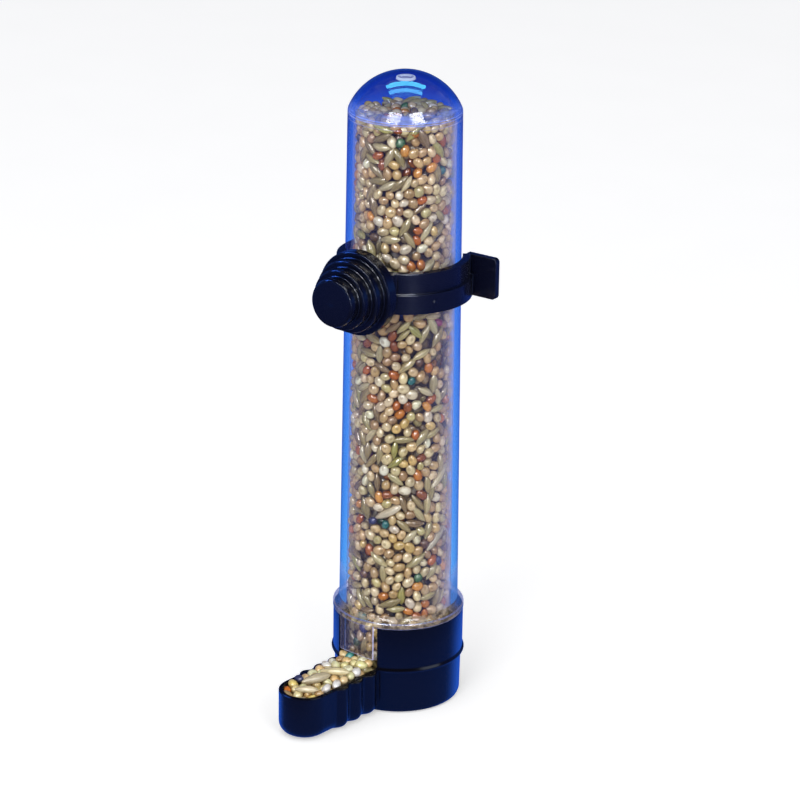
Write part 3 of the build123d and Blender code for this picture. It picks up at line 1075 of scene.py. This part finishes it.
def heap(batches, seed, n, z_mid, z_edge, r_max, detail, tilt):
    """The loose top of the seed under the dome."""
    rng = np.random.default_rng(seed)
    kinds, size = draw_seeds(rng, n, TUBE_MIX, **TUBE_SIZES)

    def confine(points, radius):
        r = np.hypot(points[:, 0], points[:, 1]) + 1e-9
        past = np.maximum(r + radius - r_max, 0)
        return -points / r[:, None] * past[:, None]

    q = r_max * 0.7
    centres, angles = relax(
        rng, kinds, size, ((-q, q), (-q, q)), steps=140, shrink=0.97, confine=confine
    )
    for i, kind in enumerate(kinds):
        x, y = centres[i]
        z = z_mid + (z_edge - z_mid) * (math.hypot(x, y) / r_max) ** 2 + rng.normal(0, 0.28)
        axes = lying_axes(
            [math.cos(angles[i]), math.sin(angles[i]), rng.normal(0, tilt)],
            [rng.normal(0, tilt), rng.normal(0, tilt), 1.0],
        )
        place(batches, rng, kind, size[i], np.array([x, y, z]), axes, detail, heap_fit)


# ------------------------------------------------------------------ seed: material
def long_husk(graph, kind, place_on_seed, base, relief):
    """Ridges along the husk, darker between them, and pale tips."""
    x, y, z = place_on_seed
    ridge_count, dark_scale = {"canary": (7.0, 0.72), "oat": (9.0, 0.78)}[kind]
    angle = graph.math("ARCTAN2", z, y)
    ridges = graph.math("SINE", graph.times(angle, ridge_count))
    ridges = graph.scaled(ridges, gain=0.5, offset=0.5)
    dark = graph.vector("SCALE", base, scale=dark_scale)
    base = graph.mix(graph.times(graph.inverse(ridges), 0.6), base, dark)
    tip = graph.math("POWER", graph.math("ABSOLUTE", x), 5.0)
    base = graph.mix(graph.times(tip, 0.45), base, srgb(214, 202, 164))
    return base, graph.plus(relief, graph.times(ridges, 0.5))


def millet_husk(graph, place_on_seed, base):
    """A darker eye towards one end and a warm rim."""
    x, y, _ = place_on_seed

    def squares(a, b):
        return graph.plus(graph.times(a, a), graph.times(b, b))

    eye_x = graph.math("SUBTRACT", x, 0.42)
    eye = graph.smoothstep(squares(eye_x, y), start=0.16, end=0.03)
    base = graph.mix(graph.times(eye, 0.42), base, srgb(150, 118, 66))
    rim = graph.smoothstep(squares(x, y), start=0.45, end=1.15)
    return graph.mix(graph.times(rim, 0.38), base, srgb(164, 128, 80))


def seed_material(kind):
    """Husk: colour per seed, blotches, marks by kind, fine grain, soft shine, and painted shade
    where it turns away.
    """
    graph = new_shader("seed_" + kind)
    colour = graph.node("Attribute", attribute_name="seed_col").outputs["Color"]
    coords = graph.coords()
    blotches = graph.noise(coords, scale=1100.0, detail=3.0, rough=0.6)
    fine = graph.noise(coords, scale=5200.0, detail=2.0, rough=0.6)
    shade = graph.scaled(blotches, gain=0.5, offset=0.74)
    base = graph.vector("SCALE", colour, scale=shade)
    relief = graph.times(fine, 0.4)
    if kind != "pellet":
        seed_place = graph.node("Attribute", attribute_name="seed_loc").outputs["Vector"]
        xyz = graph.separate(seed_place)
        if kind in LONG_SEEDS:
            base, relief = long_husk(graph, kind, xyz, base, relief)
        elif kind == "millet":
            base = millet_husk(graph, xyz, base)
        else:
            tip = graph.math("POWER", graph.math("ABSOLUTE", xyz[0]), 4.0)
            base = graph.mix(graph.times(tip, 0.5), base, srgb(130, 66, 26))
    # painted shade: warmer and darker where it turns away
    painted_edge_shade = graph.vector("MULTIPLY", base, (0.56, 0.47, 0.40))
    base = graph.mix(graph.math("POWER", graph.turned_away(), 1.7), base, painted_edge_shade)
    roughness = graph.scaled(blotches, gain=0.18, offset=SEEDS[kind]["rough"] - 0.09)
    husk = graph.node(
        "BsdfPrincipled",
        {
            "Base Color": base,
            "Roughness": roughness,
            "IOR": 1.45,
            "Specular IOR Level": 0.5,
            "Normal": graph.bump(relief, strength=0.22, distance=0.00006),
        },
    )
    return graph.finish(husk.outputs[0])


SEED_MATERIALS = {kind: seed_material(kind) for kind in SEEDS}


def build_batches(batches, prefix, body, slot):
    return [
        batch.build(prefix + kind, SEED_MATERIALS[kind], body, slot)
        for kind, batch in batches.items()
    ]


TUBE_MIX = {"millet": 62, "canary": 23, "red": 9, "oat": 1.5, "pellet": 3.5}
outer_seed, inner_seed = {}, {}
# painted light and shade per layer: the outer layer is brightened, the inner one darkened as if in
# shade
wall_layer(
    outer_seed, seed=11, n=1600, inset=0.0, gap_spread=0.26, detail="fine", tilt=0.34, light_shade_tone=1.13
)
heap(
    outer_seed, seed=23, n=78, z_mid=SEED_TOP + 0.9, z_edge=SEED_TOP + 0.1, r_max=10.7,
    detail="fine", tilt=0.34,
)
wall_layer(
    inner_seed, seed=12, n=1180, inset=1.75, gap_spread=0.3, detail="low", tilt=0.45, light_shade_tone=0.62
)
heap(
    inner_seed, seed=24, n=64, z_mid=SEED_TOP - 0.9, z_edge=SEED_TOP - 1.6, r_max=10.6,
    detail="low", tilt=0.3,
)
tube_seed = build_batches(outer_seed, "tube_seed_", "tube", "seed_in_tube")
tube_seed += build_batches(inner_seed, "tube_seed_inner_", "tube", "seed_in_tube")
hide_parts("seed_column")


# ------------------------------------------------------------------ seed lying in the trough
PILE_BACK_Y = -12.7
# height of the heap by distance out along -Y: high at the window, falling to the rim
PILE_OUT = (12.8, 14.6, 18.0, 24.0, 30.0, 35.0)
PILE_HEIGHT = (11.7, 11.9, 11.2, 10.35, 9.9, 9.3)


def pile_top(y):
    return float(np.interp(-y, PILE_OUT, PILE_HEIGHT))


def pile_fit(verts):
    """Moves a seed clear of the trough's sides, its round end and the window pane."""
    reach = TROUGH_HALF - 0.06
    below_pane, back_y = PANE_Z - 0.08, -12.75
    for _ in range(3):
        over = np.abs(verts[:, 0]).max() - reach
        if over > 0:
            verts = verts - np.array([math.copysign(over, verts[:, 0].mean()), 0, 0])
        from_end = verts[:, :2] - np.array([0.0, TROUGH_END_Y])
        far = from_end[:, 1] < 0
        if far.any():
            over = np.hypot(from_end[far, 0], from_end[far, 1]).max() - reach
            if over > 0:
                middle = from_end[far].mean(0)
                shift = middle / (np.linalg.norm(middle) + 1e-9) * over
                verts = verts - np.append(shift, 0.0)
        near_pane = verts[:, 1].max() > PANE_Y - 0.05
        if near_pane and verts[:, 2].max() > below_pane:
            verts = verts - np.array([0, 0, verts[:, 2].max() - below_pane])
        if verts[:, 1].max() > back_y:
            verts = verts - np.array([0, verts[:, 1].max() - back_y, 0])
    return verts


def pile_layer(batches, seed, n, drop, detail, tilt):
    """One layer of the heap, drop below its top; its seed is brightened as painted light, and lower
    layers are darker as painted shade.
    """
    rng = np.random.default_rng(seed)
    kinds, size = draw_seeds(rng, n, PILE_MIX, spread=0.06, smallest=0.85, largest=1.14)
    half = TROUGH_HALF - 0.1

    def confine(points, radius):
        x, y = points[:, 0], points[:, 1]
        push = np.zeros_like(points)
        push[:, 0] -= np.maximum(np.abs(x) + radius - half, 0) * np.sign(x)
        push[:, 1] -= np.maximum(y + radius - PILE_BACK_Y, 0)
        past = y < TROUGH_END_Y
        from_end = np.column_stack([x, y - TROUGH_END_Y])
        r = np.hypot(from_end[:, 0], from_end[:, 1]) + 1e-9
        over = np.maximum(r + radius - half, 0)
        push[past] -= (from_end / r[:, None] * over[:, None])[past]
        return push

    bounds = ((-half + 1, half - 1), (TROUGH_END_Y - 3, PILE_BACK_Y - 1))
    centres, angles = relax(
        rng, kinds, size, bounds, steps=160, shrink=0.96, confine=confine
    )
    for i, kind in enumerate(kinds):
        x, y = centres[i]
        z = pile_top(y) - drop - 0.85 + rng.normal(0, 0.22)
        axes = lying_axes(
            [math.cos(angles[i]), math.sin(angles[i]), rng.normal(0, tilt * 0.8)],
            [rng.normal(0, tilt), rng.normal(0, tilt) - 0.08, 1.0],
        )
        place(
            batches, rng, kind, size[i], np.array([x, y, z]), axes, detail, pile_fit,
            light_shade_tone=1.60 - 0.26 * drop,
        )


# hulled oats lying on top: x, y, z, degrees from +X, size
TOP_OATS = (
    (0.1, -26.6, 11.1, 66.0, 0.98),
    (1.2, -21.9, 11.4, 28.0, 0.88),
    (1.6, -31.4, 10.65, 30.0, 0.80),
)


def place_top_oats(batches):
    rng = np.random.default_rng(35)
    for x, y, z, degrees, size in TOP_OATS:
        turn = math.radians(degrees)
        axes = lying_axes([math.cos(turn), math.sin(turn), 0.06], [0.1, -0.05, 1.0])
        # brightened as painted light, like the heap's top
        place(batches, rng, "oat", size, np.array([x, y, z]), axes, "fine", light_shade_tone=1.35)


PILE_MIX = {"millet": 74, "canary": 10, "red": 7, "pellet": 1.5}
pile = {}
place_top_oats(pile)
pile_layer(pile, seed=31, n=46, drop=-0.3, detail="fine", tilt=0.42)
pile_layer(pile, seed=32, n=42, drop=1.1, detail="fine", tilt=0.5)
pile_layer(pile, seed=33, n=36, drop=2.7, detail="low", tilt=0.5)
trough_seed = build_batches(pile, "trough_seed_", "base", "seed_in_trough")
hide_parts("seed_pile")


# ------------------------------------------------------------------ painted shade: dark mass behind the seeds
def core_material():
    """Painted shade of the seed deep inside: round cells, pale in the middle and dark between."""
    graph = new_shader("seed_shadow_mass")
    coords = graph.coords()
    cells = graph.node("TexVoronoi", {"Scale": 430.0, "Vector": coords}).outputs["Distance"]
    colour = graph.ramp(
        cells, [(0.0, srgb(150, 128, 88)), (0.5, srgb(96, 76, 52)), (0.95, srgb(38, 28, 24))]
    )
    grain = graph.noise(coords, scale=3000.0, detail=2.0, rough=0.5)
    mass = graph.node(
        "BsdfPrincipled",
        {
            "Base Color": colour,
            "Roughness": graph.scaled(grain, gain=0.2, offset=0.55),
            "Normal": graph.bump(cells, strength=0.8, distance=0.0005, invert=True),
        },
    )
    return graph.finish(mass.outputs[0])


def lumpy(x, y, z, height):
    """Smooth unevenness of up to that height."""
    return height * (
        math.sin(2.1 * x + 1.3 * z)
        + math.sin(1.9 * y - 1.7 * z + 1.0)
        + math.sin(2.6 * z + 0.9 * x - 1.1 * y)
    ) / 3.0


def build_core():
    """Uneven column inside the seed layers of the tube."""
    z = SKIRT_Z + 0.15
    profile = [(0.0, z)]
    while z < SEED_TOP - 2.4:
        profile.append((float(bore_r(z)) - 2.75, z))
        z += 0.9
    # (r, depth below the seed's top)
    for r, depth in ((7.0, 1.9), (4.0, 1.5), (1.6, 1.3), (0.0, 1.25)):
        profile.append((r, SEED_TOP - depth))
    core = lathe("tube_seed_core", profile[::-1], 72)
    for v in core.data.vertices:
        x, y, z = (c / MM for c in v.co)
        r = math.hypot(x, y)
        if r > 0.5:
            swell = 1 + lumpy(x, y, z, 0.42) / r
            v.co.x *= swell
            v.co.y *= swell
    return core


def build_bed():
    """Uneven block under the seed in the trough: a top and a bottom grid, closed round the edge."""
    rows, cols = 26, 12
    half = TROUGH_HALF - 0.12
    top_verts, bottom_verts = [], []
    for y in np.linspace(-12.9, TROUGH_END_Y - half + 0.15, rows):
        width = half
        if y <= TROUGH_END_Y:
            width = math.sqrt(max(half**2 - (y - TROUGH_END_Y) ** 2, 0.02))
        for i in range(cols + 1):
            x = -width + 2 * width * i / cols
            top_verts.append((x, y, pile_top(y) - 3.0 + lumpy(x * 1.4, y * 1.4, 0.0, 0.35)))
            # the bottom's long edges draw in and curl up
            edge = max(0.0, abs(x) / half - 0.6) / 0.4
            bottom_y = y + (0.25 if y < -30 else 0.0)
            bottom_z = TROUGH_FLOOR_Z + 0.15 + 1.2 * edge**3
            bottom_verts.append((x * (1 - 0.10 * edge), bottom_y, bottom_z))
    under = len(top_verts)
    row = cols + 1
    faces = []
    for j in range(rows - 1):
        for i in range(cols):
            a = j * row + i
            b = a + row
            faces.append((a, b, b + 1, a + 1))
            faces.append((under + a, under + a + 1, under + b + 1, under + b))
    for j in range(rows - 1):
        a, b = j * row, (j + 1) * row
        faces.append((a, under + a, under + b, b))
        a, b = a + cols, b + cols
        faces.append((b, under + b, under + a, a))
    for i in range(cols):
        faces.append((i + 1, under + i + 1, under + i, i))
        a = (rows - 1) * row + i
        faces.append((a, under + a, under + a + 1, a + 1))
    verts = [(x * MM, y * MM, z * MM) for x, y, z in top_verts + bottom_verts]
    bed = new_object("trough_seed_bed", verts, faces)
    bm = bmesh.new()
    bm.from_mesh(bed.data)
    bmesh.ops.recalc_face_normals(bm, faces=bm.faces)
    bm.to_mesh(bed.data)
    bm.free()
    return bed


mass_material = core_material()
core = build_core()
core.data.materials.append(mass_material)
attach(core, "tube")
bed = build_bed()
bed.data.materials.append(mass_material)
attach(bed, "base")

# ------------------------------------------------------------------ stage, metres
# what gloss sees in the floor, as (distance / FLOOR_FADE, colour)
FLOOR_FADE = 0.30
FLOOR_BLUES = (
    (0.05, srgb(44, 100, 222)), (0.14, srgb(42, 94, 212)), (0.24, srgb(16, 30, 84)),
    (0.60, srgb(22, 40, 110)), (1.0, srgb(34, 64, 160)),
)
# what gloss sees in the room, by the z of its direction
ROOM_BLUES = (
    (0.0, srgb(60, 120, 235)), (0.16, srgb(52, 108, 230)), (0.34, srgb(26, 52, 140)),
    (0.6, srgb(14, 20, 52)), (1.0, srgb(20, 26, 60)),
)


def floor_material():
    """White paper with a little glow of its own; reflections see blues instead."""
    graph = new_shader("floor_paper")
    rays = graph.light_path()
    fibres = graph.noise(graph.coords(), scale=35.0, detail=4.0, rough=0.5)
    colour = graph.mix(fibres, (0.90, 0.90, 0.905), (0.94, 0.94, 0.945))
    paper = graph.node("BsdfDiffuse", {"Color": colour})
    strength = graph.scaled(rays["Is Camera Ray"], gain=0.30, offset=0.12)
    glow = graph.node("Emission", {"Strength": strength})
    lifted = graph.node("AddShader", {0: paper.outputs[0], 1: glow.outputs[0]})
    distance = graph.vector("LENGTH", graph.coords(), output="Value")
    blues = graph.ramp(graph.times(distance, 1.0 / FLOOR_FADE), FLOOR_BLUES)
    mirrored = graph.node("Emission", {"Color": blues, "Strength": 1.0})
    return graph.finish(
        graph.mix_shader(rays["Is Glossy Ray"], lifted.outputs[0], mirrored.outputs[0])
    )


def build_world():
    """White to the camera, soft white as light, blue to reflections."""
    graph = Shader(bpy.data.worlds.new("studio"), "OutputWorld")
    rays = graph.light_path()

    def background(colour, strength):
        return graph.node("Background", {"Color": colour, "Strength": strength}).outputs[0]

    direction_z = graph.separate(graph.node("TexCoord").outputs["Generated"])[2]
    mirrored = background(graph.ramp(direction_z, ROOM_BLUES), strength=0.9)
    soft = background((0.96, 0.97, 1.0), strength=0.42)
    white = background((1, 1, 1), strength=1.0)
    unseen = graph.mix_shader(rays["Is Glossy Ray"], soft, mirrored)
    return graph.finish(graph.mix_shader(rays["Is Camera Ray"], unseen, white))


floor = new_object(
    "floor", [(-3, -3, 0), (3, -3, 0), (3, 3, 0), (-3, 3, 0)], [(0, 1, 2, 3)], smooth=False
)
floor.location.z = -0.0002
floor.data.materials.append(floor_material())
scene.world = build_world()

# ------------------------------------------------------------------ lights, metres and degrees
CAMERA_AZIMUTH = 41.0  # from -Y towards +X
LIGHT_TARGET = Vector((0.0, 0.0, 0.085))

all_seed = tube_seed + trough_seed + [core, bed]
clip_parts = [nodes["clip_ring"], nodes["clamp_knob"]]
LIT = {
    # objects a light may be limited to
    "clear": [tube],
    "black": [nodes["base_cup"], *clip_parts],
    "cup": [nodes["base_cup"]],
    "clip": clip_parts,
    "seed": all_seed,
    "soft": all_seed + [tube, floor],
}
LIT_GROUPS = {}
for group_name, members in LIT.items():
    LIT_GROUPS[group_name] = bpy.data.collections.new("lit_" + group_name)
    for member in members:
        LIT_GROUPS[group_name].objects.link(member)


def softbox(
    name, azimuth, elevation, distance, width, height, radiance, colour=(1, 1, 1), lit=None
):
    """Area light facing the target; azimuth from the camera's side, right is plus."""
    a, e = math.radians(CAMERA_AZIMUTH + azimuth), math.radians(elevation)
    direction = Vector((math.sin(a) * math.cos(e), -math.cos(a) * math.cos(e), math.sin(e)))
    data = bpy.data.lights.new(name, "AREA")
    data.shape = "RECTANGLE"
    data.size, data.size_y = width, height
    data.energy = radiance * math.pi * width * height
    data.color = colour
    ob = link_object(name, data)
    ob.location = LIGHT_TARGET + direction * distance
    ob.rotation_euler = direction.to_track_quat("Z", "Y").to_euler()
    ob.visible_camera = False
    if lit:
        ob.light_linking.receiver_collection = LIT_GROUPS[lit]
    return ob


KEY = dict(elevation=27.0, distance=1.1, width=0.44, height=0.58, lit="soft")
softbox("key_left", azimuth=-23.0, radiance=3.7, **KEY)
softbox("key_right", azimuth=27.0, radiance=3.1, **KEY)
fill = softbox(
    "fill_top", azimuth=-30.0, elevation=66.0, distance=1.2, width=0.9, height=0.9, radiance=1.2
)
fill.visible_glossy = False

# seen only as shine: strips over the dome, panels for its shoulder, small lamps for black parts
# name, azimuth, elevation, width, height, radiance, colour, lit group
SHINE_PANELS = (
    ("strip_high", 0.0, 113.0, 0.76, 0.19, 13.0, (0.12, 0.74, 1.0), "clear"),
    ("strip_low", 0.0, 96.0, 0.74, 0.15, 8.0, (0.18, 0.75, 1.0), "clear"),
    ("strip_mid", 0.0, 96.0, 0.30, 0.15, 15.0, (0.5, 0.95, 1.0), "clear"),
    ("panel_left", -25.5, 24.0, 0.40, 0.86, 14.0, (1.0, 1.0, 1.0), "clear"),
    ("panel_right", 26.5, 24.0, 0.40, 0.86, 14.0, (1.0, 1.0, 1.0), "clear"),
    ("spark_left", -25.0, 36.0, 0.36, 0.44, 44.0, (1.0, 0.99, 0.96), "seed"),
    ("spark_right", 22.0, 34.0, 0.24, 0.34, 26.0, (0.96, 0.98, 1.0), "seed"),
    ("arc_0", -56.0, 57.0, 0.12, 0.12, 70.0, (0.55, 0.66, 1.0), "clip"),
    ("arc_1", -35.0, 57.0, 0.12, 0.12, 110.0, (0.86, 0.90, 1.0), "clip"),
    ("arc_2", -13.0, 48.0, 0.12, 0.12, 130.0, (0.90, 0.93, 1.0), "clip"),
    ("arc_3", 4.0, 32.0, 0.12, 0.12, 130.0, (0.90, 0.93, 1.0), "clip"),
    ("arc_4", 13.0, 14.0, 0.12, 0.12, 110.0, (0.86, 0.90, 1.0), "clip"),
    ("arc_5", 17.0, -2.0, 0.10, 0.10, 70.0, (0.60, 0.70, 1.0), "clip"),
    ("ledge_lamp", 12.0, 72.0, 0.95, 0.26, 5.0, (0.80, 0.86, 1.0), "clip"),
    ("cup_side", 62.0, 36.0, 0.50, 0.60, 1.4, (0.70, 0.80, 1.0), "cup"),
    ("blue_lamp", -112.0, 44.0, 0.40, 0.40, 30.0, (0.04, 0.18, 1.0), "black"),
)
for name, azimuth, elevation, width, height, radiance, colour, lit in SHINE_PANELS:
    panel = softbox(name, azimuth, elevation, 0.9, width, height, radiance, colour, lit)
    panel.visible_diffuse = False

# ------------------------------------------------------------------ camera, metres and radians
CAMERA_DISTANCE, CAMERA_HEIGHT = 0.64201, 0.31115  # level distance from the axis, height
CAMERA_PITCH, CAMERA_ROLL = 0.3624, 0.0144  # pitch is downward
CAMERA_YAW_OFFSET = 0.0004  # turn away from facing the axis


def build_camera():
    data = bpy.data.cameras.new("camera")
    camera = link_object("camera", data)
    data.sensor_width = 36.0
    data.lens = 144.0
    data.clip_start, data.clip_end = 0.01, 20.0
    azimuth = math.radians(CAMERA_AZIMUTH)
    yaw = azimuth + CAMERA_YAW_OFFSET
    forward = Vector(
        (
            -math.sin(yaw) * math.cos(CAMERA_PITCH),
            math.cos(yaw) * math.cos(CAMERA_PITCH),
            -math.sin(CAMERA_PITCH),
        )
    )
    right = Vector((math.cos(yaw), math.sin(yaw), 0.0))
    up = right.cross(forward)
    cos, sin = math.cos(CAMERA_ROLL), math.sin(CAMERA_ROLL)
    matrix = Matrix.Identity(4)
    matrix.col[0][:3] = right * cos + up * sin
    matrix.col[1][:3] = up * cos - right * sin
    matrix.col[2][:3] = -forward
    matrix.col[3][:3] = (
        CAMERA_DISTANCE * math.sin(azimuth),
        -CAMERA_DISTANCE * math.cos(azimuth),
        CAMERA_HEIGHT,
    )
    camera.matrix_world = matrix
    return camera


scene.camera = build_camera()

scene.view_settings.view_transform = "Standard"
scene.view_settings.look = "None"
scene.cycles.max_bounces = 7
scene.cycles.diffuse_bounces = 3
scene.cycles.glossy_bounces = 3
scene.cycles.transparent_max_bounces = 24
scene.cycles.caustics_reflective = False
scene.cycles.caustics_refractive = False
